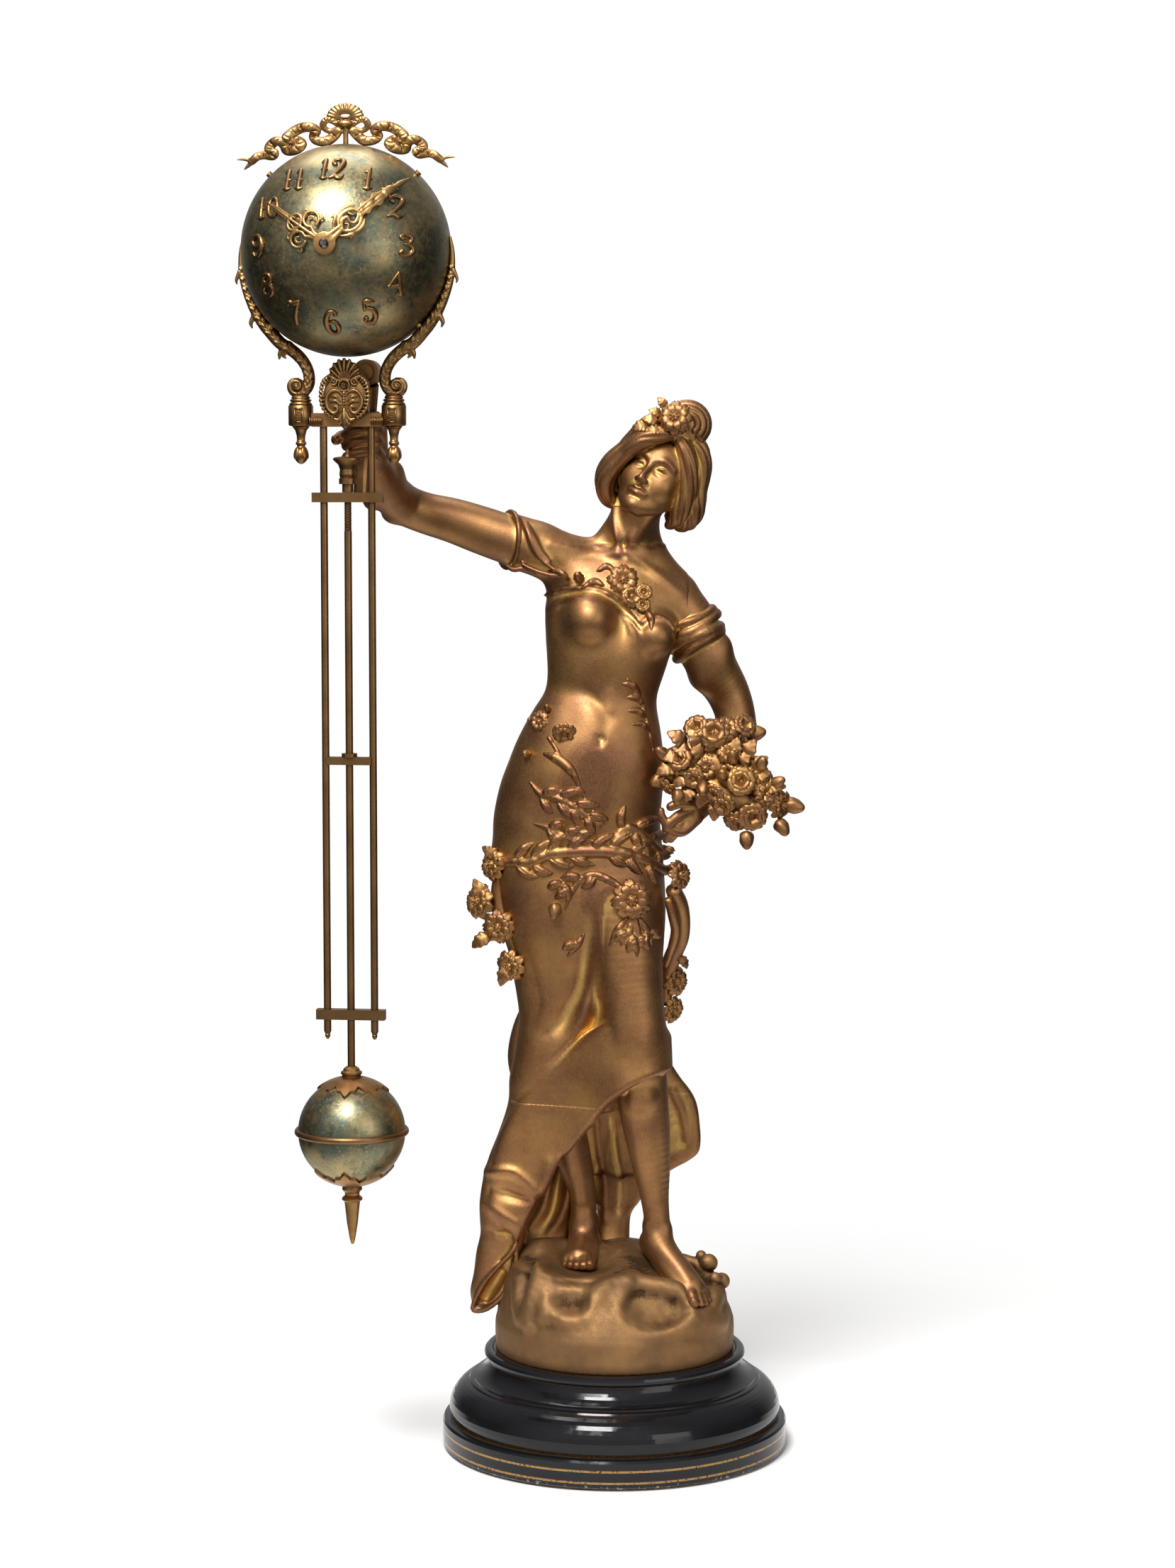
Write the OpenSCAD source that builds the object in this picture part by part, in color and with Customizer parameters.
// Swinging figure clock: a cast figure on a turned black base holds up a bracket, and a ball-cased
// clock with a long bob rod swings on a knife edge over it.
// Millimetres. The origin is the middle of the base's underside, +Z is up, the front faces -Y.
// The pendulum swings about an axis along Y. The cast figure stands turned 7 degrees to the dial.

/* [Base] */
// Radius of the foot disc
base_r = 100; // [95:1:105]
// Height of the turned base with its felt
base_h = 58; // [56:1:60]
// Radius of the cast rock where it meets the base
mound_r = 69; // [66:1:71]

/* [Pendulum] */
// Distance of the swing axis to the left of the base's middle
reach_x = 136; // [134:1:138]
// Distance of the pendulum in front of the base's middle
reach_y = 97; // [96:1:98]
// Height of the knife edge
pivot_z = 610.5; // [610.5:0.5:611.5]
// Half the distance between the two side rods
rod_x = 13.25; // [13:0.05:13.5]
// Radius of a side rod
rod_r = 2.05; // [1.9:0.05:2.2]
// Thread pitch of the rating screw
thread_pitch = 0.9; // [0.8:0.1:1]

/* [Ball case] */
// Outer radius of the ball that holds the clock
ball_r = 57.15; // [57:0.05:57.3]
// Height of the ball's middle above the knife edge
ball_up = 73.1; // [73:0.1:74]
// Thickness of the spun brass
sheet = 0.8; // [0.6:0.1:0.9]

/* [Bob] */
// Outer radius of the bob's ball
bob_r = 29.8; // [29:0.2:30]
// Height of the bob's middle
bob_z = 199.2; // [198:0.2:200]

/* [Figure] */
// Angle that the figure is turned to the dial
turn = 7; // [6:1:8]

/* [Hidden] */

pendulum_x = -reach_x;
pendulum_y = -reach_y;
ball_z = pivot_z + ball_up;

// Colours, as the aged metal looks
bronze = "#8A5E30";
rock_gold = "#8C6B38";
gilt = "#A9762F";
old_brass = "#8A7A45";
dark_brass = "#8A5C36";
steel = "#6E6C68";
lacquer = "#141416";
clean_brass = "#B5924C";

// Running clearances
slide_gap = 0.05;
pivot_gap = 0.05;
$fn = 64;

// Places and helpers

module at_clock() {
    translate([pendulum_x, pendulum_y, 0]) children();
}

module at_ball() {
    translate([pendulum_x, pendulum_y, ball_z]) children();
}

module in_figure() {
    rotate([0, 0, turn]) children();
}

// A flat x-z outline made solid from y0 to y1
module span_y(y0, y1) {
    translate([0, y1, 0]) rotate([90, 0, 0]) linear_extrude(y1 - y0) children();
}

// A round bar along y
module bar_y(r, y0, y1) {
    translate([0, y1, 0]) rotate([90, 0, 0]) cylinder(r = r, h = y1 - y0);
}

module cone_y(r0, r1, y0, y1) {
    translate([0, y1, 0]) rotate([90, 0, 0]) cylinder(r1 = r1, r2 = r0, h = y1 - y0);
}

function polar(r, a) = [r * cos(a), r * sin(a)];
function unit(v) = v / norm(v);
function arc(cx, cy, r, a0, a1, steps) =
    [for (i = [0:steps]) [cx, cy] + polar(r, a0 + (a1 - a0) * i / steps)];

// A flat brush stroke through points [x, y, width]
function stroke_side(pts, side) = [for (i = [0:len(pts) - 1])
    let (a = pts[max(i - 1, 0)], b = pts[min(i + 1, len(pts) - 1)])
    let (d = unit([b[0] - a[0], b[1] - a[1]]))
    [pts[i][0] - side * d[1] * pts[i][2] / 2, pts[i][1] + side * d[0] * pts[i][2] / 2]];
function reversed(list) = [for (i = [len(list) - 1:-1:0]) list[i]];
function stroke_outline(pts) = concat(stroke_side(pts, -1), reversed(stroke_side(pts, 1)));
module stroke(pts) {
    polygon(stroke_outline(pts));
}

// A closed skin over rows of points, the lowest row first
module skin(points, rows, sides) {
    walls = [for (r = [0:rows - 2]) for (i = [0:sides - 1]) let (j = (i + 1) % sides)
        each [[r * sides + i, (r + 1) * sides + i, (r + 1) * sides + j],
              [r * sides + i, (r + 1) * sides + j, r * sides + j]]];
    bottom = [for (i = [0:sides - 1]) i];
    top = [for (i = [sides - 1:-1:0]) (rows - 1) * sides + i];
    polyhedron(points, concat(walls, [bottom, top]));
}

// A closed skin through level ovals [x, y, z, half width, half depth]
module loft(ovals, sides = 24) {
    skin([for (s = ovals) for (i = [0:sides - 1])
        [s[0] + s[3] * cos(360 * i / sides), s[1] + s[4] * sin(360 * i / sides), s[2]]], len(ovals), sides);
}

// A round limb through points [x, y, z, radius]
function limb_way(path, i) = unit([for (k = [0:2]) path[min(i + 1, len(path) - 1)][k] - path[max(i - 1, 0)][k]]);
module limb(path, sides = 16) {
    rows = len(path);
    points = [for (r = [0:rows - 1])
        let (d = limb_way(path, r), u = unit(cross(d, [0.1, 1, 0.05])), v = cross(d, u))
        for (i = [0:sides - 1])
        [for (k = [0:2]) path[r][k] + path[r][3] * (u[k] * cos(360 * i / sides) + v[k] * sin(360 * i / sides))]];
    skin(points, rows, sides);
}

// A short tapered piece with round ends
module finger(a, b, ra, rb) {
    hull() {
        translate(a) sphere(ra, $fn = 10);
        translate(b) sphere(rb, $fn = 10);
    }
}

// A chain of such pieces through points [x, y, z, radius]
module rope(path) {
    for (i = [0:len(path) - 2]) {
        finger([path[i][0], path[i][1], path[i][2]], [path[i + 1][0], path[i + 1][1], path[i + 1][2]],
            path[i][3], path[i + 1][3]);
    }
}

// Turns +z towards a direction given by its bearing from the front and its rise
module facing(bearing, rise) {
    rotate([90 - rise, 0, bearing]) children();
}

// An open flower that looks along +z: five petals, a heart and a calyx that runs back into the metal.
// Each row is its share of the radius, how deeply the petals part there, and its height.
flower_rows = [[0.3, 0, -0.8], [0.42, 0, -0.35], [0.86, 0.14, 0.06], [0.84, 0.16, 0.16], [0.36, 0.04, -0.02],
    [0.32, 0, 0.24], [0.16, 0, 0.34]];
module flower(r, sides = 10) {
    rows = len(flower_rows);
    points = [for (f = flower_rows) for (i = [0:sides - 1]) let (a = 360 * i / sides)
        concat(polar(r * (f[0] + f[1] * cos(5 * a)), a), [r * f[2]])];
    skin(points, rows, sides);
}

// Gears

// Cycloid-like teeth with straight flanks: half widths are shares of the tooth pitch
function tooth_ring(teeth, modul, phase, tip, root) = let (rp = teeth * modul / 2, step = 360 / teeth)
    [for (i = [0:teeth - 1]) for (k = [[-0.32, -root], [-0.225, 0], [-0.08, tip], [0.08, tip], [0.225, 0], [0.32, -root]])
        polar(rp + k[1] * modul, phase + step * (i + k[0]))];

module gear_outline(teeth, modul, phase, tip, root) {
    polygon(tooth_ring(teeth, modul, phase, tip, root));
}

// A wheel crossed out to four arms
module crossed_wheel(teeth, modul, phase, tip, root, hub, rim, bore) {
    difference() {
        gear_outline(teeth, modul, phase, tip, root);
        circle(bore);
        difference() {
            circle(teeth * modul / 2 - rim);
            circle(hub);
            for (a = [0, 90]) rotate(a + phase) square([teeth * modul, rim * 0.9], center = true);
        }
    }
}

// Phase of a gear that meshes with one at angle way, whose own phase is given
function mesh_phase(way, phase, teeth, next_teeth) =
    way + 180 - (0.5 - (way - phase) * teeth / 360) * 360 / next_teeth;
function way_to(a, b) = atan2(b[1] - a[1], b[0] - a[0]);

wheel_tip = 0.62;
wheel_root = 0.95;
leaf_tip = 0.45;
leaf_root = 1.0;

barrel_at = [0, -24.3];
barrel_teeth = 96;
barrel_modul = 0.45;
centre_leaves = 12;
centre_teeth = 64;
train_modul = 0.4;
third_at = [11.8, 8.26];
third_leaves = 8;
third_teeth = 60;
escape_at = [0, 15.02];
escape_leaves = 8;
escape_teeth = 40;
escape_r = 9;
anchor_at = [0, 27.5];
cannon_teeth = 12;
motion_modul = 0.5;
minute_at = [-12, 0];
minute_teeth = 36;
minute_leaves = 10;
hour_modul = 0.48;
hour_teeth = 40;

centre_phase = 0;
barrel_phase = mesh_phase(90 + 180, centre_phase, centre_leaves, barrel_teeth);
third_leaf_phase = mesh_phase(way_to([0, 0], third_at), centre_phase, centre_teeth, third_leaves);
escape_leaf_phase = mesh_phase(way_to(third_at, escape_at), third_leaf_phase, third_teeth, escape_leaves);
minute_phase = mesh_phase(180, centre_phase, cannon_teeth, minute_teeth);
hour_phase = mesh_phase(0, minute_phase, minute_leaves, hour_teeth);

plate_r = 44;
plate_t = 1.6;
front_plate_y = -12;
back_plate_y = 12;
pillar_ring = 39;
ring_r = 52.5;

// Base

module base_felt() {
    color("#2E3A2C") cylinder(r = base_r - 4, h = 1);
}

foot_top = 17.5;
bolt_r = 3;

module base_foot() {
    color(lacquer) difference() {
        rotate_extrude() polygon([[0, 1], [base_r - 1, 1], [base_r, 2], [base_r, foot_top - 2],
            [base_r - 0.8, foot_top - 0.7], [base_r - 3, foot_top], [0, foot_top]]);
        translate([0, 0, -1]) cylinder(r = bolt_r + 0.2, h = 30);
        translate([0, 0, -1]) cylinder(r = 12, h = 9);
    }
}

module base_plinth() {
    profile = concat([[0, foot_top], [94.5, foot_top], [95.6, 19]],
        arc(79, 22.5, 17.2, 0, 70, 8),
        [[84.2, 39.6], [82.4, 40.2], [82.2, 41.2]],
        arc(86.2, 54.6, 14.1, 253, 200, 7),
        [[72.6, 51.2]],
        arc(72.9, 54.6, 3.0, -80, 90, 6),
        [[71.2, base_h - 0.4], [70.4, base_h - 1], [0, base_h - 1]]);
    color(lacquer) difference() {
        rotate_extrude() polygon(profile);
        cylinder(r = bolt_r + 0.2, h = base_h + 2);
    }
}

module base_bolt() {
    color(steel) {
        translate([0, 0, 3]) cylinder(r = 5, h = 3.5, $fn = 6);
        translate([0, 0, 6.5]) cylinder(r = 10, h = 1.5);
        translate([0, 0, 8]) cylinder(r = bolt_r, h = 70);
    }
}

// Rock: a plain band, then waves that narrow to the top where the feet stand
band_top = 76;
function rock_r(z, a) = let (t = (z - band_top) / 36)
    mound_r * (0.985 - 0.06 * t - 0.6 * pow(max(t, 0), 3)) + (1.6 * sin(3 * a + 40 * t) + 1.2 * sin(5 * a - 90 * t))
    * min(1, max(t, 0) * 3) - 9 * max(t, 0) * max(0, cos(a + 55));
rock_levels = [70, 80, 86, 92, 98, 103, 108, 112];

module rock_mound() {
    sides = 48;
    points = [for (z = rock_levels) for (i = [0:sides - 1]) let (a = 360 * i / sides)
        concat(polar(rock_r(z, a), a), [z])];
    color(rock_gold) difference() {
        union() {
            in_figure() skin(points, len(rock_levels), sides);
            translate([0, 0, base_h - 1]) cylinder(r = mound_r, h = band_top - base_h + 1);
        }
        translate([0, 0, base_h - 2]) cylinder(r = bolt_r + 0.05, h = 22);
    }
}

// Figure: places are [across, depth, height] before the turn

torso_ovals = [[-22, 6, 340, 48, 33], [-22, 6, 357, 48.5, 34], [-22, 6, 367, 48, 34], [-21, 6, 378, 46.5, 33.5],
    [-20, 5, 388, 44.5, 32.5], [-18.5, 4, 398, 42.5, 31], [-17, 3, 409, 40.5, 29], [-14.5, 2, 419, 38, 26.5],
    [-11.5, 1, 429, 35, 24], [-8, 1, 439, 32.5, 23], [-6, 1, 449, 32.5, 24], [-4, 1, 460, 34.5, 25],
    [-3, 1, 470, 36, 25.5], [-1.5, 2, 482, 39.5, 25], [1, 3, 494, 43, 22.5], [2, 4, 504, 43, 20],
    [3, 5, 512, 33, 17], [8, 5, 518, 20, 14], [12, 4, 524, 12.5, 12], [15, 2, 532, 11, 11], [19, 0, 544, 11, 11]];

module figure_body() {
    color(bronze) in_figure() {
        loft(torso_ovals);
        // breasts
        finger([-13, -18, 479], [-12, -8, 486], 13.5, 12);
        finger([22, -14, 471], [20, -5, 478], 12, 11);
        // shoulders
        finger([-30, 4, 508], [-44, 5, 515], 14, 14);
        finger([34, 5, 500], [46, 6, 493], 14.5, 14);
        // neckline band and its flowers
        rope([[-42, -8, 510, 3], [-30, -16, 503, 3], [-12, -21, 499, 3], [4, -22, 497, 3.5], [18, -21, 488, 3],
            [32, -15, 480, 3], [40, -6, 476, 2.6]]);
        translate([7, -23, 500]) sphere(7, $fn = 10);
        // leaves that climb from the hips
        finger([-46, -14, 388], [-22, -26, 372], 2, 3);
        finger([-34, -22, 396], [-12, -28, 366], 2, 3);
        translate([-29, -23, 412]) sphere(6, $fn = 8);
        translate([-42, -15, 416]) sphere(6, $fn = 8);
    }
}

skirt_ovals = [[-21.5, 4, 262, 33, 20], [-20, 4, 275, 37, 24], [-18, 3, 290, 42, 27], [-19, 3, 305, 44.5, 30],
    [-20.5, 4, 325, 46.5, 32], [-22, 6, 340, 48, 33], [-22, 6, 352, 49, 34.5], [-22, 6, 360, 48.8, 34.4]];
left_thigh = [[0, -4, 340, 24], [3, -8, 318, 24.5], [5, -13, 296, 22.5], [7, -17, 276, 20.5], [9.5, -20, 258, 18.5],
    [11.5, -21, 243, 17.5], [13, -21, 230, 18]];
right_thigh = [[-42, 6, 335, 26], [-39, 4, 312, 23.5], [-37, 2, 290, 20], [-36, 1, 268, 17.5], [-37, 1, 250, 16.5],
    [-39, 3, 232, 17.5], [-41, 5, 216, 17]];
wrap_ovals = [[-16, 0, 214, 40, 13], [-16, -1, 222, 46, 17], [-15, 0, 236, 43, 19], [-14, 0, 250, 38.5, 20],
    [-14, 1, 266, 37.5, 22], [-16, 2, 285, 41, 25]];

module figure_skirt() {
    color(bronze) in_figure() {
        loft(skirt_ovals);
        loft(wrap_ovals);
        limb(left_thigh, 18);
        limb(right_thigh, 18);
        // folds drawn from the hip to the hem
        rope([[-18, -25, 330, 2.5], [-16, -27, 300, 3], [-20, -22, 270, 3], [-30, -17, 240, 3]]);
        rope([[-12, -24, 268, 2.5], [-24, -18, 244, 3], [-42, -13, 218, 3]]);
        rope([[28, -12, 236, 2.5], [14, -18, 230, 3], [-4, -15, 222, 3], [-22, -11, 216, 3]]);
    }
}

train_ovals = [[-77, 4, 79, 5, 3.5], [-73, 3, 83, 11, 7], [-71.5, 3, 90, 12.5, 9], [-70, 3, 100, 12, 9.5],
    [-67, 4, 112, 13.5, 9.5], [-65, 4, 124, 13, 8.5], [-64.5, 4, 138, 14, 8], [-61, 4, 152, 16, 8],
    [-53.5, 4, 168, 19, 9], [-44, 4, 184, 21, 11], [-35, 4, 200, 24, 13], [-28, 3, 214, 32, 15], [-22, 2, 226, 38, 16]];
back_panel_ovals = [[-10, 26, 138, 16, 4], [-8, 28, 152, 24, 5], [2, 29, 166, 41, 6], [2, 29, 180, 45, 7],
    [0, 27, 196, 46, 8], [-2, 24, 210, 41, 9], [-6, 20, 226, 36, 10], [-10, 16, 244, 34, 10]];

module dress_train() {
    color(bronze) in_figure() {
        loft(train_ovals, 20);
        loft(back_panel_ovals, 20);
        rope([[-80, 2, 86, 2], [-78, 0, 108, 2.4], [-76, 1, 130, 2.4], [-70, 1, 152, 2.4], [-60, -1, 176, 2.4],
            [-50, -2, 200, 2.4], [-44, -3, 222, 2.4]]);
        rope([[-56, -2, 120, 2.6], [-52, -2, 148, 2.6], [-40, -4, 172, 2.6], [-20, -9, 202, 2.6]]);
    }
}

left_shin = [[13, -21, 236, 15], [14, -20, 224, 15.5], [16, -18, 205, 14.8], [18.5, -16, 185, 13], [21, -15, 165, 10.8],
    [23, -15, 147, 8.2], [24.5, -16, 133, 7.6], [25, -17, 122, 8.4]];

module left_leg() {
    color(bronze) in_figure() {
        limb(left_shin, 16);
        finger([22, -13, 122], [25, -20, 124], 8, 8.2);
        finger([24, -18, 122], [38, -30, 108], 8.4, 7.6);
        finger([38, -30, 108], [49, -39, 96], 7.8, 5.6);
        for (i = [0:4]) {
            finger([44 + i * 2.4, -43 + i * 3.2, 99 - i * 0.6], [51 + i * 1.6, -50 + i * 4.2, 90 - i * 0.6],
                3.4 - i * 0.3, 2.6 - i * 0.25);
        }
    }
}

right_shin = [[-38, 6, 220, 13.5], [-34, 9, 200, 13.5], [-28, 12, 178, 12], [-22, 13, 158, 9.5], [-18.5, 13, 142, 7.6],
    [-18, 12, 128, 8.4], [-18, 11, 118, 9]];

module right_leg() {
    color(bronze) in_figure() {
        limb(right_shin, 16);
        finger([-17, 14, 117], [-18, 8, 117], 8, 8.5);
        finger([-18, 8, 117], [-21, -10, 112], 8.2, 7);
        for (i = [0:4]) {
            finger([-15 - i * 3, -10 + i * 1.4, 112], [-14 - i * 3.6, -21 + i * 1.8, 109], 3.4 - i * 0.3, 3 - i * 0.25);
        }
    }
}

// Head: built upright about its own middle, then leaned
head_at = [24, 0, 563];
head_lean = 24;
head_nod = -12;
head_turn = -22;
head_ovals = [[0, -13, -27, 5, 5], [0, -12, -24, 8.5, 8.5], [0, -8, -18, 12.5, 13], [0, -4, -10, 16, 18],
    [0, -2, -2, 18.5, 21], [0, 0, 6, 20, 23], [0, 2, 14, 19.5, 22.5], [0, 3, 21, 16, 19], [0, 4, 26, 9, 11]];

module head() {
    color(bronze) in_figure() translate(head_at) rotate([0, head_lean, 0]) rotate([head_nod, 0, head_turn]) {
        loft(head_ovals);
        // nose, hair roll over the brow, falling bob at the sides and the top knot
        finger([0, -20.5, -3], [0, -23, -9.5], 1.6, 2.2);
        rope([[0, -19, 17, 5], [-10, -17, 13, 6.5], [-18, -9, 4, 8], [-21, 0, -8, 8.5], [-18, 7, -17, 7.5]]);
        rope([[0, -19, 17, 5], [11, -17, 13, 7], [19, -9, 3, 8.5], [23, -2, -10, 10], [22, 2, -24, 9], [17, 5, -33, 6]]);
        translate([6, 4, 30]) scale([1.1, 1, 0.8]) sphere(12.5, $fn = 14);
        translate([0, -9, 32]) facing(0, 40) flower(8);
    }
}

raised_path = [[-28, 4, 508, 14.5], [-44, 5, 515, 15], [-58, 6, 522, 14.4], [-74, 7, 528, 14], [-92, 7, 534, 13.2],
    [-108, 6, 539, 12], [-119, 2, 544, 11.8], [-126, -8, 550, 12], [-130, -20, 557, 11.4], [-133, -32, 564, 9.6],
    [-135, -43, 571, 7.6], [-136, -50, 576, 7.6]];

module raised_arm() {
    color(bronze) in_figure() {
        limb(raised_path, 16);
        finger([-58, 6, 522], [-62, 6, 524], 15.8, 15.8);
        // palm and the fingers that close round the bracket
        finger([-134, -50, 575], [-131, -54, 588], 8, 7);
        for (i = [0:3]) {
            finger([-131, -58, 592 - i * 6.4], [-138, -66 + i * 0.3, 593 - i * 6.4], 3.4, 3.2);
            finger([-138, -66 + i * 0.3, 593 - i * 6.4], [-147, -63, 591 - i * 6.2], 3.2, 2.9);
        }
        finger([-138, -50, 582], [-148, -55, 585], 3.8, 3.2);
        finger([-148, -55, 585], [-153, -59, 581], 3.2, 2.6);
    }
}

lowered_path = [[38, 5, 498, 14.5], [46, 6, 490, 14.8], [50, 7, 478, 15], [54, 8, 464, 14.8], [60, 10, 450, 14.2],
    [66, 12, 436, 12.6], [70, 12, 423, 11.6], [70, 8, 411, 11.4], [66, 1, 400, 10.4], [61, -6, 389, 8.6],
    [56, -11, 380, 7]];

module lowered_arm() {
    color(bronze) in_figure() {
        limb(lowered_path, 16);
        rope([[36, -1, 484, 4.5], [46, -9, 473, 4.5], [58, -7, 472, 4.5], [68, 2, 474, 4.5], [69, 12, 480, 4.5]]);
        finger([56, -11, 380], [46, -16, 372], 7, 7);
        for (i = [0:3]) {
            finger([44, -20 + i * 2, 376 - i * 4.5], [34, -22 + i, 372 - i * 4.2], 3, 2.6);
            finger([34, -22 + i, 372 - i * 4.2], [27 + i, -21 + i, 366 - i * 4], 2.6, 2);
        }
        finger([50, -20, 382], [42, -26, 384], 3.2, 2.6);
    }
}

// Flowers of the bouquet: [across, depth, height, radius, bearing, rise]
bouquet_flowers = [[31, -26, 405, 7, -20, 30], [47, -22, 412, 7.5, -10, 40], [58, -20, 414, 8, 10, 45],
    [69, -20, 414, 8, 25, 30], [78, -18, 404, 7, 50, 20], [42, -32, 398, 8, -15, 10], [55, -34, 402, 8, 0, 20],
    [67, -32, 402, 8, 10, 10], [77, -30, 394, 8, 30, 0], [86, -28, 385, 8.5, 30, -5], [93, -24, 377, 7.5, 45, -10],
    [65, -34, 388, 8, 0, -5], [74, -34, 378, 8, 5, -20], [84, -30, 370, 8, 10, -35], [72, -30, 366, 7.5, 0, -50],
    [94, -28, 367, 7, 50, -30]];

module bouquet() {
    color(bronze) in_figure() {
        for (f = bouquet_flowers) translate([f[0], f[1], f[2]]) facing(f[4], f[5]) flower(f[3]);
        rope([[28, -20, 398, 6], [44, -21, 400, 11], [60, -21, 397, 13.5], [74, -20, 388, 13], [86, -20, 376, 10]]);
        // leaves that hang out below
        rope([[60, -26, 384, 4], [62, -31, 372, 3.4], [60, -32, 362, 1.2]]);
        rope([[78, -24, 372, 4], [86, -28, 362, 3.4], [92, -28, 352, 1.2]]);
        rope([[36, -24, 398, 4], [28, -28, 388, 3.4], [24, -29, 378, 1.2]]);
    }
}

// Flowers on the hips: [across, depth, height, radius, bearing, rise]
hip_flowers = [[-71, -8, 340, 8, -50, 10], [-80, -3, 313, 10.5, -60, 10], [-68, -12, 304, 9, -35, -10],
    [-62, -12, 283, 9, -40, -10], [9, -33, 319, 12.5, 5, 0], [34, -20, 334, 9.5, 35, 10],
    [33, 12, 274, 9.5, 60, -10], [32, 12, 257, 8, 60, -10]];
hip_belt = [[-70, -6, 344, 5], [-60, -20, 342, 5], [-44, -28, 345, 4.5], [-26, -32, 344, 4.5], [-8, -33, 339, 4.5],
    [10, -32, 332, 4.5], [24, -26, 326, 4.5], [34, -16, 322, 4.5], [37, -4, 318, 4.5]];

module hip_garland() {
    color(bronze) in_figure() {
        for (f = hip_flowers) translate([f[0], f[1], f[2]]) facing(f[4], f[5]) flower(f[3]);
        limb(hip_belt, 10);
        limb([[34.4, -13, 320, 4.6], [34, -16, 327, 5.2], [33.6, -19.6, 333.8, 4]], 10);
        limb([[33, -16, 324, 6], [35, -6, 306, 6], [34, 6, 290, 6.5], [32, 14, 272, 6], [30, 16, 256, 5]], 10);
        limb([[-64, -8, 340, 6], [-72, -4, 326, 7], [-67, -6, 306, 7], [-57, -8, 290, 6], [-56, -8, 280, 6]], 10);
    }
}

// Bracket in the hand, and the bearing on it

bracket_path = [[3, 24, 549, 3.4], [3.2, 24, 552, 4.6], [3.6, 24, 562, 4.8], [4.4, 24, 576, 5.2], [5.4, 23, 590, 5.8],
    [6.4, 21, 602, 6.4], [7.6, 18, 612, 6.6]];
beam_half = 4.5;
beam_z = pivot_z - 4.5;
knife_r = 0.5;
groove_r = 0.55;

module clock_bracket() {
    color(gilt) at_clock() {
        limb(bracket_path, 16);
        translate([8.5, 0, 618.3]) bar_y(7.2, 9, 22);
        translate([8.5, 0, 618.3]) bar_y(4.4, 7.6, 10);
        translate([-beam_half, -4.5, beam_z - 5.5]) cube([2 * beam_half, 26, 5.5]);
    }
}

// Hard steel block with the groove that the knife edge rocks in
module bearing_block() {
    color(steel) at_clock() difference() {
        translate([-4, -4.5, beam_z]) cube([8, 11, 6.5]);
        translate([0, 0, pivot_z]) bar_y(groove_r, -6, 8);
        translate([0, 0, pivot_z]) span_y(-6, 8) polygon([[-0.39, -0.39], [0.39, -0.39], [4, 3.2], [-4, 3.2]]);
    }
}

// Pendulum frame

yoke_half = 12;
window_half = 7.5;
bar_low = 588.6;
bar_high = 596;
block_x = 25.8;
block_r = 6.9;
bar_half = block_x - block_r * cos(22.5);
knife_outline = [[-0.45, 0.2], [0.45, 0.2], [2.2, 4.5], [2.2, 6], [-2.2, 6], [-2.2, 4.5]];

module cross_bar() {
    color(gilt) at_clock() difference() {
        union() {
            translate([-bar_half, -3, bar_low]) cube([2 * bar_half, 6, bar_high - bar_low]);
            span_y(-2, 2) polygon([[-yoke_half, bar_high - 1], [yoke_half, bar_high - 1], [yoke_half, 613],
                [yoke_half - 5, 620], [5 - yoke_half, 620], [-yoke_half, 613]]);
        }
        span_y(-5, 5) polygon([[-window_half, 597.5], [window_half, 597.5], [window_half, 611],
            [4, 615], [-4, 615], [-window_half, 611]]);
        translate([0, 0, pivot_z]) span_y(-5, 5) polygon(knife_outline);
        for (s = [-1, 1]) translate([s * rod_x, 0, bar_low - 1]) cylinder(r = rod_r, h = 5);
    }
}

module knife_edge() {
    color(steel) at_clock() {
        translate([0, 0, pivot_z]) bar_y(knife_r, -4, 6);
        translate([0, 0, pivot_z]) span_y(-4, 6) polygon(knife_outline);
    }
}

// Where it lies on the ball: [angle, thickness]
arm_on_ball = [[225, 7], [220, 6.6], [213, 5.6], [206, 4.8], [199, 4.2], [192, 3.6], [185, 2.8], [179, 2], [173, 0.9]];
// Lyre arm: a stroke that leaves a volute and rises to the ball
arm_stroke = concat([[-27.2, 614.6, 0.8], [-30.2, 613.8, 1.8], [-31.6, 611, 2.6], [-30.4, 607.6, 3.4],
    [-27, 605.9, 4.2], [-23.4, 607.6, 5.6], [-21.3, 611.4, 6.4], [-21, 616, 6.2], [-22.4, 621, 6.2],
    [-25.8, 626, 6.4], [-31, 630.5, 6.6], [-37, 634.2, 6.6]],
    [for (p = arm_on_ball) concat(polar(ball_r - 0.3 + p[1] / 2, p[0]) + [0, ball_z], [p[1]])]);
arm_spurs = [[[-33, 633.5, 4], [-36.6, 628.6, 2.4], [-36.4, 625.4, 0.7]],
    [[-49.6, 650, 3.4], [-52.4, 645, 2.2], [-51.8, 642, 0.7]],
    [[-58.4, 673, 2.6], [-60.6, 668.6, 1.4], [-60.4, 666, 0.6]]];

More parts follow.
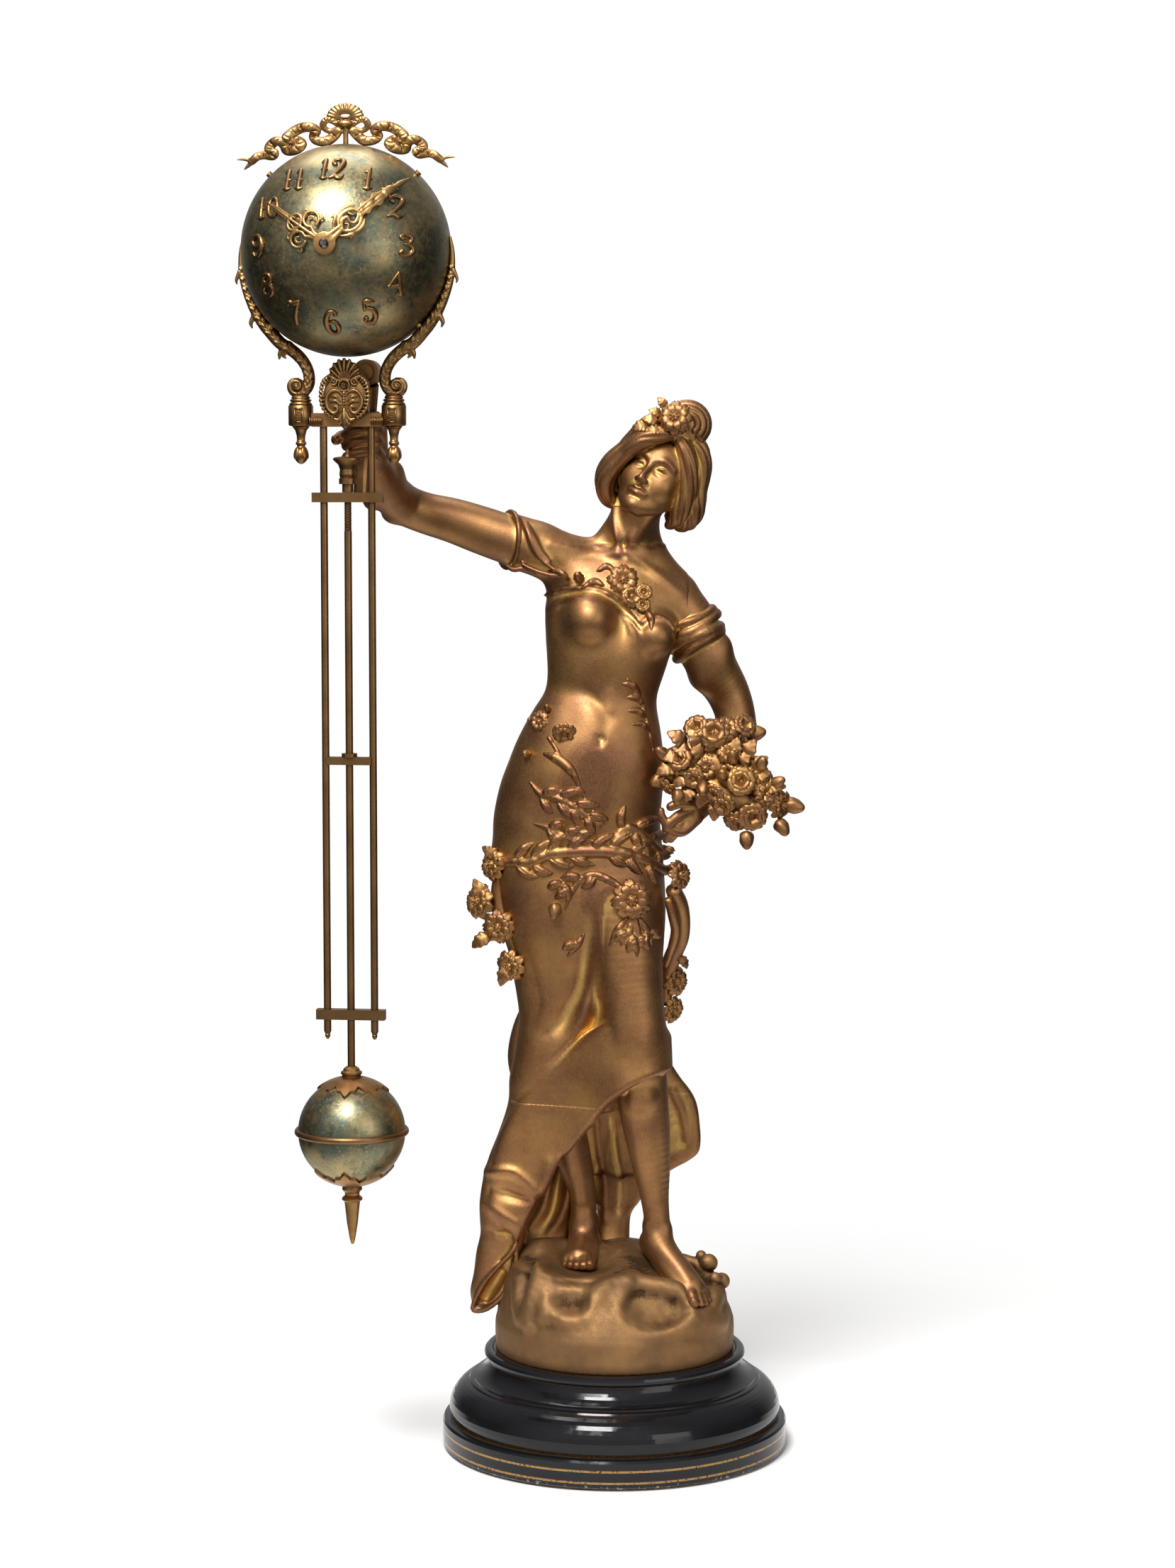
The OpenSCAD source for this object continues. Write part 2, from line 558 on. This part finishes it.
module lyre_arm() {
    color(gilt) {
        span_y(-3.4, 3.4) difference() {
            union() {
                stroke(arm_stroke);
                for (s = arm_spurs) stroke(s);
            }
            translate([0, ball_z]) circle(ball_r);
        }
        translate([-28, 0, 611]) bar_y(2.2, -4.2, 4.2);
        translate([-block_x, 0, 600.6]) cylinder(r1 = 6.1, r2 = 5.3, h = 1.8);
        translate([-block_x, 0, 602.4]) cylinder(r = 5.6, h = 1.6);
        translate([-block_x, 0, 604]) cylinder(r1 = 5, r2 = 4, h = 1.6);
        difference() {
            translate([-block_x, 0, 594.8]) rotate(22.5) cylinder(r = block_r, h = 11.6, center = true, $fn = 8);
            translate([-block_x - 2.2, -7.2, 592.2]) cube([4.4, 1.2, 5.2]);
        }
        translate([-block_x, 0, 0]) rotate_extrude() polygon([[0, 589], [5.8, 589], [3.6, 586.6], [2.8, 583.6],
            [2.7, 581], [3.5, 580], [3.5, 578.8], [2.5, 578], [3.6, 576.4], [3.95, 574.2], [3.4, 571.8],
            [1.8, 570.2], [0, 569.8]]);
    }
}

module lyre_arm_left() {
    at_clock() lyre_arm();
}

module lyre_arm_right() {
    at_clock() mirror([1, 0, 0]) lyre_arm();
}

// Right half of the cartouche, from its top leaf round to its lower tip
cartouche_half = [[0, 625.4], [1.6, 624], [3.2, 623.6], [4, 621.8], [5.8, 621], [6.2, 619], [8, 617.8], [8.4, 615.6],
    [10.6, 615.4], [12.2, 613.6], [12.6, 611], [13.4, 608.6], [13.2, 605.6], [13.5, 602.6], [12.4, 599.6],
    [10.6, 597], [8, 594.8], [5.2, 593.6], [4.6, 591.4], [2.4, 589.6], [0, 587.2]];

module cartouche() {
    color(gilt) at_clock() {
        span_y(-8.4, -6.2) polygon(concat(cartouche_half,
            reversed([for (p = cartouche_half) if (p[0] > 0) [-p[0], p[1]]])));
        // raised shield, scrolls and fan
        span_y(-9.6, -8.4) difference() {
            translate([0, 603.4]) circle(10.4);
            translate([0, 603.4]) circle(8.8);
            translate([0, 614]) circle(5);
        }
        for (s = [-1, 1]) {
            translate([s * 4.4, 0, 607.4]) bar_y(2, -10, -8.4);
            translate([s * 5.4, 0, 613.4]) bar_y(1.8, -9.8, -8.4);
            translate([s * 5.2, 0, 597.6]) bar_y(1.7, -9.8, -8.4);
            translate([s * 9.75, 0, 604]) bar_y(1.6, -6.6, -2);
            for (k = [0:2]) span_y(-9.4, -8.4)
                stroke([[s * (0.8 + k), 614.6, 0.8], [s * (1.6 + 1.6 * k), 619.4 - k * 0.7, 1.5]]);
        }
        translate([0, 0, 610.9]) bar_y(2.7, -10, -8.4);
        span_y(-9.6, -8.4) stroke([[0, 588.4, 0.8], [0, 592, 2.6], [0, 597, 1.6], [0, 603, 1.4]]);
    }
}

module cartouche_screw() {
    color(dark_brass) at_clock() translate([0, 0, 610.9]) difference() {
        union() {
            bar_y(1.6, -11, -10);
            cone_y(1.2, 1.6, -11.4, -11);
        }
        translate([-2, -11.6, -0.2]) cube([4, 0.7, 0.4]);
    }
}

rod_low = 255;

module side_rods() {
    color(dark_brass) at_clock() for (s = [-1, 1]) {
        translate([s * rod_x, 0, rod_low]) cylinder(r = rod_r, h = bar_low + 4 - rod_low);
    }
}

module rod_nuts() {
    color(dark_brass) at_clock() for (s = [-1, 1]) {
        translate([s * rod_x, 0, 0]) rotate_extrude() polygon([[0, rod_low], [1.7, rod_low], [1.7, rod_low - 0.8],
            [1.2, rod_low - 1.2], [1.5, rod_low - 1.8], [1.4, rod_low - 2.8], [0.8, rod_low - 4],
            [0, rod_low - 4.4]]);
    }
}

bob_rod_r = 2.1;

module pierced_bar(half, low, high, deep) {
    difference() {
        translate([-half, -deep / 2, low]) cube([2 * half, deep, high - low]);
        for (s = [-1, 1]) translate([s * rod_x, 0, low - 1]) cylinder(r = rod_r, h = high - low + 2);
        translate([0, 0, low - 1]) cylinder(r = bob_rod_r + slide_gap, h = high - low + 2);
    }
}

module top_bar() {
    color(dark_brass) at_clock() pierced_bar(19.6, 547.5, 552.8, 6);
}

module middle_bar() {
    color(dark_brass) at_clock() {
        pierced_bar(12.5, 403.5, 407.8, 5.4);
        translate([0, 0, 407.8]) difference() {
            cylinder(r = 4.3, h = 2);
            translate([0, 0, -1]) cylinder(r = bob_rod_r + slide_gap, h = 4);
        }
    }
}

module bottom_bar() {
    color(dark_brass) at_clock() pierced_bar(19.2, 261.9, 267.5, 6);
}

// Ball case

screw_r = 0.9;

// Something at each of the four case screws, along its own axis
module at_case_screws() {
    for (a = [45, 135, 225, 315]) rotate([0, -a, 0]) translate([0, -6, 0]) rotate([0, 90, 0]) children();
}

module front_half() {
    translate([-ball_r - 5, -ball_r - 5, -ball_r - 5]) cube([2 * ball_r + 10, ball_r + 5, 2 * ball_r + 10]);
}

module case_front() {
    color(old_brass) at_ball() difference() {
        intersection() {
            sphere(ball_r);
            front_half();
        }
        sphere(ball_r - sheet);
        bar_y(2.6, -ball_r - 2, -ball_r + 4);
        at_case_screws() translate([0, 0, 50]) cylinder(r = screw_r, h = 10);
    }
}

module case_rear() {
    color(old_brass) at_ball() difference() {
        sphere(ball_r);
        sphere(ball_r - sheet);
        front_half();
        translate([barrel_at[0], 0, barrel_at[1]]) bar_y(3.5, 30, 60);
    }
}

module case_ring() {
    rim = ball_r - sheet - 0.05;
    color(clean_brass) at_ball() difference() {
        rotate([90, 0, 0]) rotate_extrude()
            polygon(concat([[ring_r, -5]], arc(0, 0, rim, -5, 10.6, 9), [[ring_r, -front_plate_y - plate_t]]));
        at_case_screws() translate([0, 0, 53]) cylinder(r = screw_r, h = 10);
    }
}

module case_screws() {
    color(clean_brass) at_ball() at_case_screws() {
        translate([0, 0, 53]) cylinder(r = screw_r, h = 4.5);
        translate([0, 0, ball_r]) cylinder(r = 1.7, h = 1.4);
    }
}

// Numerals: strokes of each digit, [x, y, width] in millimetres about the digit's middle
digit_strokes = [
    [],
    [[[-1.3, 4.9, 1.1], [0, 4.2, 1.6], [0, -2.6, 1.6]], [[-2.1, -3, 0.9], [0, -3.5, 2.6], [2.1, -3, 0.9]]],
    [[[-1.6, 2, 1.4], [-2.6, 3.4, 1.3], [-1, 4.6, 1.4], [1.2, 4.4, 1.6], [2.3, 2.8, 1.8], [1.4, 0.8, 1.6],
      [-0.9, -1.4, 1.4], [-2.9, -3.6, 1.2]], [[-2.8, -3.5, 1], [-1.1, -2.9, 1.6], [0.9, -4, 1.6], [3, -3, 0.8]]],
    [[[-1.4, 2.6, 1.5], [-2.4, 3.8, 1.2], [0, 4.7, 1.4], [2, 3.6, 1.7], [1.4, 1.6, 1.5], [-0.4, 0.7, 1]],
     [[-0.4, 0.7, 1], [1.9, -0.2, 1.6], [2.6, -2.2, 1.8], [0.8, -4.3, 1.5], [-1.8, -4, 1.3], [-2.2, -2.4, 1.6]]],
    [[[1, 4.8, 1.2], [-1, 1.6, 1.3], [-3.1, -1.6, 1.2]], [[-3.1, -1.5, 1], [0, -1.3, 1.5], [3.1, -1.7, 1]],
     [[1.3, 2.4, 1.2], [1.2, -1.4, 1.6], [1, -4.8, 0.9]]],
    [[[2.7, 4.5, 0.9], [0.4, 4, 1.7], [-1.9, 4.5, 1.1]], [[-1.8, 4.4, 1.2], [-1.7, 1, 1.4]],
     [[-1.8, 1, 1], [0.6, 1.3, 1.5], [2.5, -0.4, 1.8], [2.1, -3.2, 1.7], [-0.2, -4.5, 1.4], [-2.4, -3.4, 1.6]]],
    [[[2.2, 4.6, 0.9], [0, 4, 1.5], [-1.9, 1.8, 1.7], [-2.5, -1.2, 1.8], [-1.2, -3.9, 1.6], [1.1, -4, 1.5],
      [2.4, -2, 1.8], [1.2, -0.1, 1.4], [-0.8, -0.9, 1]]],
    [[[-2.8, 2.6, 1], [-2.1, 4.1, 1.5], [0.4, 3.7, 1.6], [2.7, 4.6, 0.9]], [[2.3, 4, 1], [1.3, 1.2, 1.6],
      [0.2, -1.6, 1.8], [0.5, -4.9, 0.9]]],
    [],
    [[[-2.2, -4.6, 0.9], [0, -4, 1.5], [1.9, -1.8, 1.7], [2.5, 1.2, 1.8], [1.2, 3.9, 1.6], [-1.1, 4, 1.5],
      [-2.4, 2, 1.8], [-1.2, 0.1, 1.4], [0.8, 0.9, 1]]]];
numeral_ring = ball_r * sin(45);
numeral_out = 1.2;

module oval_ring(y, wide, high, thick) {
    translate([0, y]) difference() {
        polygon([for (p = arc(0, 0, 1, 0, 337.5, 15)) [wide * p[0], high * p[1]]]);
        polygon([for (p = arc(0, 0, 1, 0, 337.5, 15)) [(wide - thick) * p[0], (high - thick * 0.7) * p[1]]]);
    }
}

module digit(d) {
    for (s = digit_strokes[d]) stroke(s);
    if (d == 0) oval_ring(0, 2.9, 4.9, 1.7);
    if (d == 8) {
        oval_ring(2.5, 2.4, 2.3, 1.3);
        oval_ring(-2.3, 2.9, 2.7, 1.5);
    }
}

module numeral_outline(hour) {
    translate(polar(numeral_ring, 90 - 30 * hour)) {
        if (hour < 10) {
            digit(hour);
        } else {
            translate([hour == 11 ? -2.6 : -3.6, 0]) digit(1);
            translate([hour == 11 ? 2.6 : 2.4, 0]) digit(hour - 10);
        }
    }
}

module numerals() {
    color(dark_brass) at_ball() intersection() {
        difference() {
            sphere(ball_r + numeral_out);
            sphere(ball_r);
        }
        for (hour = [1:12]) span_y(-ball_r - 3, -20) numeral_outline(hour);
    }
}

// Ribbon bow: left half's strokes about the ball's middle, [x, z, width]
bow_wave = [[-3, 69.6, 2], [-7, 71.2, 4], [-10.4, 73.2, 4.6], [-11.4, 69.4, 4], [-7.6, 65.8, 4.4], [-9.4, 60.4, 5],
    [-15, 60.6, 4], [-16.8, 65.6, 4], [-20.6, 68.8, 5], [-26.6, 66.8, 5], [-29.4, 62.6, 4.4], [-26, 60, 4.6],
    [-26.8, 56.4, 5], [-31.4, 55.4, 4.4], [-33, 60, 4], [-37.4, 59.6, 4.6], [-40, 55.8, 3.6], [-38.2, 52.4, 4],
    [-42.6, 52, 4], [-47, 50.2, 4], [-50.6, 47.6, 4.6]];
bow_forks = [[[-50, 47.8, 3.6], [-54, 48.6, 2.6], [-58, 48.4, 0.6]], [[-50, 47.4, 3.6], [-52.4, 44.4, 2.4],
    [-54.6, 41.8, 0.6]]];

module half_bow() {
    stroke(bow_wave);
    for (s = bow_forks) stroke(s);
}

module ribbon_bow() {
    color(dark_brass) at_ball() {
        span_y(-2.6, 1.4) {
            half_bow();
            mirror([1, 0]) half_bow();
            difference() {
                intersection() {
                    translate([0, 71.6]) circle(9.2);
                    translate([-12, 71]) square([24, 12]);
                }
                translate([0, 74.4]) circle(1.8);
            }
        }
        translate([0.6, -1, 70.6]) sphere(4.2);
        difference() {
            span_y(-2.6, 1.4) translate([-2, 56]) square([4, 14]);
            sphere(ball_r);
        }
    }
}

// Movement

module front_plate() {
    color(clean_brass) at_ball() difference() {
        span_y(front_plate_y, front_plate_y + plate_t) difference() {
            union() {
                circle(plate_r);
                for (a = [22.5, 157.5, 202.5, 337.5]) rotate(a) translate([30, -4.5]) square([24.2, 9]);
            }
            circle(1 + pivot_gap);
            translate(third_at) circle(0.6 + pivot_gap);
            translate(escape_at) circle(0.6 + pivot_gap);
            translate(anchor_at) circle(0.6 + pivot_gap);
            translate(barrel_at) circle(1.5 + pivot_gap);
        }
    }
    color(steel) at_ball() translate([minute_at[0], 0, minute_at[1]]) bar_y(1, -20.4, front_plate_y + 1);
}

click_at = [13.2, -28];

module back_plate() {
    color(clean_brass) at_ball() span_y(back_plate_y, back_plate_y + plate_t) difference() {
        circle(plate_r);
        circle(1 + pivot_gap);
        translate(third_at) circle(0.6 + pivot_gap);
        translate(escape_at) circle(0.6 + pivot_gap);
        translate(anchor_at) circle(1 + pivot_gap);
        translate(barrel_at) circle(1.5 + pivot_gap);
    }
    color(steel) at_ball() translate([click_at[0], 0, click_at[1]]) bar_y(0.8, back_plate_y + 1, 16.2);
}

module pillars() {
    color(clean_brass) at_ball() for (a = [45, 135, 225, 315]) {
        translate([pillar_ring * cos(a), 0, pillar_ring * sin(a)]) {
            bar_y(2.5, front_plate_y + plate_t, back_plate_y);
        }
    }
}

module centre_arbor() {
    color(clean_brass) at_ball() {
        bar_y(1, -62.6, 14.6);
        span_y(1.5, 5) gear_outline(centre_leaves, barrel_modul, centre_phase, leaf_tip, leaf_root);
        bar_y(2.4, 5, 6);
        span_y(6, 7.2) crossed_wheel(centre_teeth, train_modul, centre_phase, wheel_tip, wheel_root, 3.4, 1.8, 0.6);
    }
}

cannon_r = 1.6;

module cannon_pinion() {
    color(steel) at_ball() difference() {
        union() {
            bar_y(cannon_r, -60.9, -12.6);
            span_y(-16, -13) gear_outline(cannon_teeth, motion_modul, centre_phase, leaf_tip, leaf_root);
        }
        bar_y(1.02, -62, -12);
    }
}

// A hand's flat outline bent to a ball of radius r, thick millimetres through
module bent_hand(r, thick) {
    intersection() {
        difference() {
            sphere(r + thick);
            sphere(r);
        }
        span_y(-r - thick - 1, -20) children();
    }
}

minute_angle = 42;
hour_angle = 146;

module minute_hand() {
    color(gilt) at_ball() {
        bent_hand(60.2, 0.8) difference() {
            union() {
                circle(6.1);
                rotate(minute_angle) difference() {
                    union() {
                        stroke([[4, 0, 6.4], [9, 0, 5], [12, 0, 5.6], [26, 0, 4], [30, 0, 3.4], [36, 0, 4.2], [41, 0, 3]]);
                        translate([17.5, 0]) circle(6.2);
                    }
                    translate([17.5, 1.8]) circle(2.6);
                    translate([18.4, -2.6]) circle(1.9);
                    translate([27.6, 0]) circle(1);
                }
                rotate(minute_angle) stroke([[40, 0, 3], [43, 0, 3.6], [46, 0, 1.8], [48.5, 0, 2.6], [54, 0, 0.5]]);
            }
            circle(cannon_r);
        }
        difference() {
            bar_y(2.6, -61.6, -60.9);
            bar_y(1.02, -62, -60);
        }
    }
}

module hand_nut() {
    color(steel) at_ball() difference() {
        union() {
            bar_y(2.5, -62.6, -61.6);
            cone_y(1.6, 2.5, -63.6, -62.6);
        }
        bar_y(1, -62.6, -61);
    }
}

hour_pipe_r = 2.3;

module hour_wheel() {
    color(clean_brass) at_ball() difference() {
        union() {
            bar_y(hour_pipe_r, -59.6, -17);
            span_y(-19, -17.8) crossed_wheel(hour_teeth, hour_modul, hour_phase, wheel_tip, wheel_root, 3.6, 1.7, 1);
        }
        bar_y(cannon_r + 0.06, -61, -16);
    }
}

module hour_hand() {
    color(gilt) at_ball() bent_hand(58.9, 0.7) difference() {
        union() {
            circle(5);
            rotate(hour_angle) {
                stroke([[3, 0, 4], [8, 0, 3.4], [14, 0, 4.4], [20, 0, 3], [28, 0, 1.6], [34, 0, 2], [41, 0, 0.5]]);
                for (s = [-1, 1]) difference() {
                    translate([14.6, s * 5.4]) circle(4.6);
                    translate([14.4, s * 5.6]) circle(2.5);
                }
                difference() {
                    translate([21, 0]) circle(4.2);
                    for (s = [-1, 1]) translate([21, s * 2.1]) circle(1.3);
                }
            }
        }
        circle(hour_pipe_r);
    }
}

module minute_wheel() {
    color(clean_brass) at_ball() translate([minute_at[0], 0, minute_at[1]]) difference() {
        union() {
            span_y(-15.5, -14.3) crossed_wheel(minute_teeth, motion_modul, minute_phase, wheel_tip, wheel_root,
                3, 1.6, 0.8);
            span_y(-19.6, -15.5) gear_outline(minute_leaves, hour_modul, minute_phase, leaf_tip, leaf_root);
        }
        bar_y(1 + pivot_gap, -20, -14);
    }
}

drum_r = 19.5;

module barrel() {
    color(clean_brass) at_ball() translate([barrel_at[0], 0, barrel_at[1]]) difference() {
        union() {
            span_y(2, 4) gear_outline(barrel_teeth, barrel_modul, barrel_phase, wheel_tip, wheel_root);
            bar_y(drum_r, -8, 2.5);
        }
        bar_y(drum_r - 0.8, -7.2, 1.6);
        bar_y(1.5 + pivot_gap, -10, 6);
    }
}

spring_turns = 7;
spring_in = 3.75;
spring_out = 18.35;
spring_steps = 24;

module mainspring() {
    path = [for (i = [0:spring_turns * spring_steps])
        let (t = i / (spring_turns * spring_steps), r = spring_in + (spring_out - spring_in) * t)
        concat(polar(r, 360 * spring_turns * t), [0.6])];
    color("#3C4048") at_ball() translate([barrel_at[0], 0, barrel_at[1]]) span_y(-6.6, 1) stroke(path);
}

ratchet_teeth = 24;

module winding_arbor() {
    color(steel) at_ball() translate([barrel_at[0], 0, barrel_at[1]]) {
        bar_y(1.5, front_plate_y - 0.6, 44);
        translate([-1.35, 43, -1.35]) cube([2.7, 5, 2.7]);
        bar_y(3.4, -6.8, 1.2);
        span_y(14, 15.4) polygon([for (i = [0:ratchet_teeth - 1])
            each [polar(8, 360 * i / ratchet_teeth), polar(6.9, 360 * (i + 0.12) / ratchet_teeth)]]);
    }
}

module click() {
    color(steel) at_ball() translate([click_at[0], 0, click_at[1]]) difference() {
        span_y(14, 15.4) union() {
            circle(2.2);
            stroke([[-0.6, 1.2, 2.4], [-2.9, 5, 2], [-4.9, 7, 1]]);
        }
        bar_y(0.8 + pivot_gap, 12, 17);
    }
}

module pivoted_arbor(low, high) {
    bar_y(0.9, low + 2.2, high - 2.6);
    bar_y(0.6, low, high);
}

module third_wheel() {
    color(clean_brass) at_ball() translate([third_at[0], 0, third_at[1]]) {
        pivoted_arbor(-12.4, 14.4);
        span_y(5.2, 8) gear_outline(third_leaves, train_modul, third_leaf_phase, leaf_tip, 0.85);
        span_y(-2, -0.8) crossed_wheel(third_teeth, train_modul, third_leaf_phase, wheel_tip, wheel_root, 2.8, 1.7, 0.5);
    }
}

module escape_wheel() {
    color(clean_brass) at_ball() translate([escape_at[0], 0, escape_at[1]]) {
        pivoted_arbor(-12.4, 14.4);
        span_y(-3, 0.2) gear_outline(escape_leaves, train_modul, escape_leaf_phase, leaf_tip, 0.85);
        span_y(-6, -5) difference() {
            polygon([for (i = [0:escape_teeth - 1]) each [polar(escape_r, 360 * (i + 0.75) / escape_teeth),
                polar(escape_r - 1.6, 360 * (i + 0.85) / escape_teeth),
                polar(escape_r - 1.6, 360 * (i + 1.35) / escape_teeth)]]);
            difference() {
                circle(escape_r - 3);
                circle(2.2);
                for (a = [0, 90]) rotate(a) square([2 * escape_r, 1.2], center = true);
            }
        }
    }
}

// Pallets stand just outside the circle of the tooth tips
module pallet_anchor() {
    color(steel) at_ball() translate([anchor_at[0], 0, anchor_at[1]]) {
        bar_y(0.6, front_plate_y - 0.4, -10);
        bar_y(0.9, -10.2, 12.2);
        bar_y(1, 11, 22.5);
        span_y(-6.6, -4.4) {
            circle(2.2);
            for (s = [-1, 1]) stroke([[0, 0.4, 3], [s * 4.4, -1, 2], [s * 8, -4, 1.6], [s * 8.5, -6.6, 0.8]]);
        }
    }
}

module inner_pendulum() {
    color(clean_brass) at_ball() translate([anchor_at[0], 0, anchor_at[1]]) {
        difference() {
            bar_y(2.4, 18.5, 21.5);
            bar_y(1, 18, 22);
        }
        translate([0, 20, -42]) cylinder(r = 0.7, h = 40);
        translate([0, 0, -41]) bar_y(6, 18, 22);
    }
}

// Bob

rod_top = 567;
thread_low = 531.8;
thread_rings = floor((rod_top - thread_low) / thread_pitch);

module bob_rod() {
    color(dark_brass) at_clock() {
        translate([0, 0, bob_z - 36]) cylinder(r = bob_rod_r - 0.02, h = thread_low - bob_z + 36);
        rotate_extrude() polygon(concat([[0, thread_low - 0.5], [1.7, thread_low - 0.5]],
            [for (i = [0:thread_rings - 1]) each [[1.7, thread_low + i * thread_pitch],
                [bob_rod_r - 0.02, thread_low + (i + 0.4) * thread_pitch],
                [bob_rod_r - 0.02, thread_low + (i + 0.6) * thread_pitch]]],
            [[1.7, rod_top], [0, rod_top]]));
    }
}

module rating_knob() {
    color(dark_brass) at_clock() difference() {
        rotate_extrude() polygon([[0, 552.85], [3.1, 552.85], [3.1, 557.4], [4.8, 557.4], [4.8, 560.4], [4.2, 560.8],
            [4.6, 562.6], [4.3, 565.4], [5.2, 568], [7.2, 569.8], [8, 570.6], [8, 571.4], [7.2, 572], [4, 572.4],
            [2, 572.6], [1.8, 573.4], [1.2, 574], [1, 575.6], [0, 577]]);
        translate([0, 0, 550]) cylinder(r = bob_rod_r + slide_gap, h = 22.2);
    }
}

module bob_shell(r0, r1) {
    difference() {
        sphere(r1);
        sphere(r0);
    }
}

module bob_upper_shell() {
    color(old_brass) at_clock() translate([0, 0, bob_z]) difference() {
        bob_shell(bob_r - sheet, bob_r);
        translate([0, 0, -50]) cube(100, center = true);
        cylinder(r = bob_rod_r, h = 40);
    }
}

module bob_lower_shell() {
    color("#5E6A58") at_clock() translate([0, 0, bob_z]) difference() {
        bob_shell(bob_r - sheet, bob_r);
        translate([0, 0, 50]) cube(100, center = true);
        translate([0, 0, -40]) cylinder(r = bob_rod_r, h = 40);
    }
}

module bob_band() {
    color(dark_brass) at_clock() translate([0, 0, bob_z]) difference() {
        rotate_extrude() translate([bob_r + 0.1, 0]) circle(1.9);
        sphere(bob_r);
    }
}

module bob_weight() {
    color("#5A5C60") at_clock() translate([0, 0, bob_z]) difference() {
        cylinder(r = 17, h = 30, center = true);
        cylinder(r = bob_rod_r, h = 32, center = true);
    }
}

// Leaf cap on the ball: lobes of a flat outline seen along the rod
cap_lobes = 7;
cap_t = 1.3;

module leaf_cap(reach) {
    intersection() {
        bob_shell(bob_r, bob_r + cap_t);
        linear_extrude(40) polygon([for (i = [0:cap_lobes * 12 - 1]) let (a = 360 * i / (cap_lobes * 12))
            polar(reach * (0.86 + 0.11 * cos(cap_lobes * a) + 0.05 * cos(3 * cap_lobes * a)), a - 90)]);
    }
}

module bob_caps() {
    color(gilt) at_clock() translate([0, 0, bob_z]) difference() {
        union() {
            leaf_cap(20.4);
            mirror([0, 0, 1]) leaf_cap(23);
            rotate_extrude() polygon([[0, bob_r], [5.2, bob_r], [5.2, 31.6], [5.9, 32.4], [5.9, 33.4], [4.6, 34.2],
                [4.4, 35.2], [2.8, 36.4], [0, 36.4]]);
        }
        translate([0, 0, -50]) cylinder(r = bob_rod_r, h = 100);
    }
}

module bob_finial() {
    color(gilt) at_clock() difference() {
        rotate_extrude() polygon([[0, 169], [5.4, 168.8], [5.6, 166.4], [4.2, 164.6], [4, 163.2], [5.7, 161.6],
            [5.7, 160.6], [4.4, 159.6], [4.1, 157.4], [3, 147], [1.5, 138], [0.8, 135.6], [0, 135.2]]);
        translate([0, 0, 160]) cylinder(r = bob_rod_r, h = 12);
        translate([0, 0, bob_z]) sphere(bob_r + cap_t);
    }
}

base_felt();
base_foot();
base_plinth();
base_bolt();
rock_mound();
figure_body();
figure_skirt();
dress_train();
left_leg();
right_leg();
head();
raised_arm();
lowered_arm();
bouquet();
hip_garland();
clock_bracket();
bearing_block();
cross_bar();
lyre_arm_left();
lyre_arm_right();
cartouche();
cartouche_screw();
knife_edge();
side_rods();
rod_nuts();
top_bar();
middle_bar();
bottom_bar();
case_front();
case_rear();
case_ring();
case_screws();
numerals();
ribbon_bow();
front_plate();
back_plate();
pillars();
centre_arbor();
cannon_pinion();
minute_hand();
hand_nut();
hour_wheel();
hour_hand();
minute_wheel();
barrel();
mainspring();
winding_arbor();
click();
third_wheel();
escape_wheel();
pallet_anchor();
inner_pendulum();
bob_rod();
rating_knob();
bob_upper_shell();
bob_lower_shell();
bob_band();
bob_weight();
bob_caps();
bob_finial();
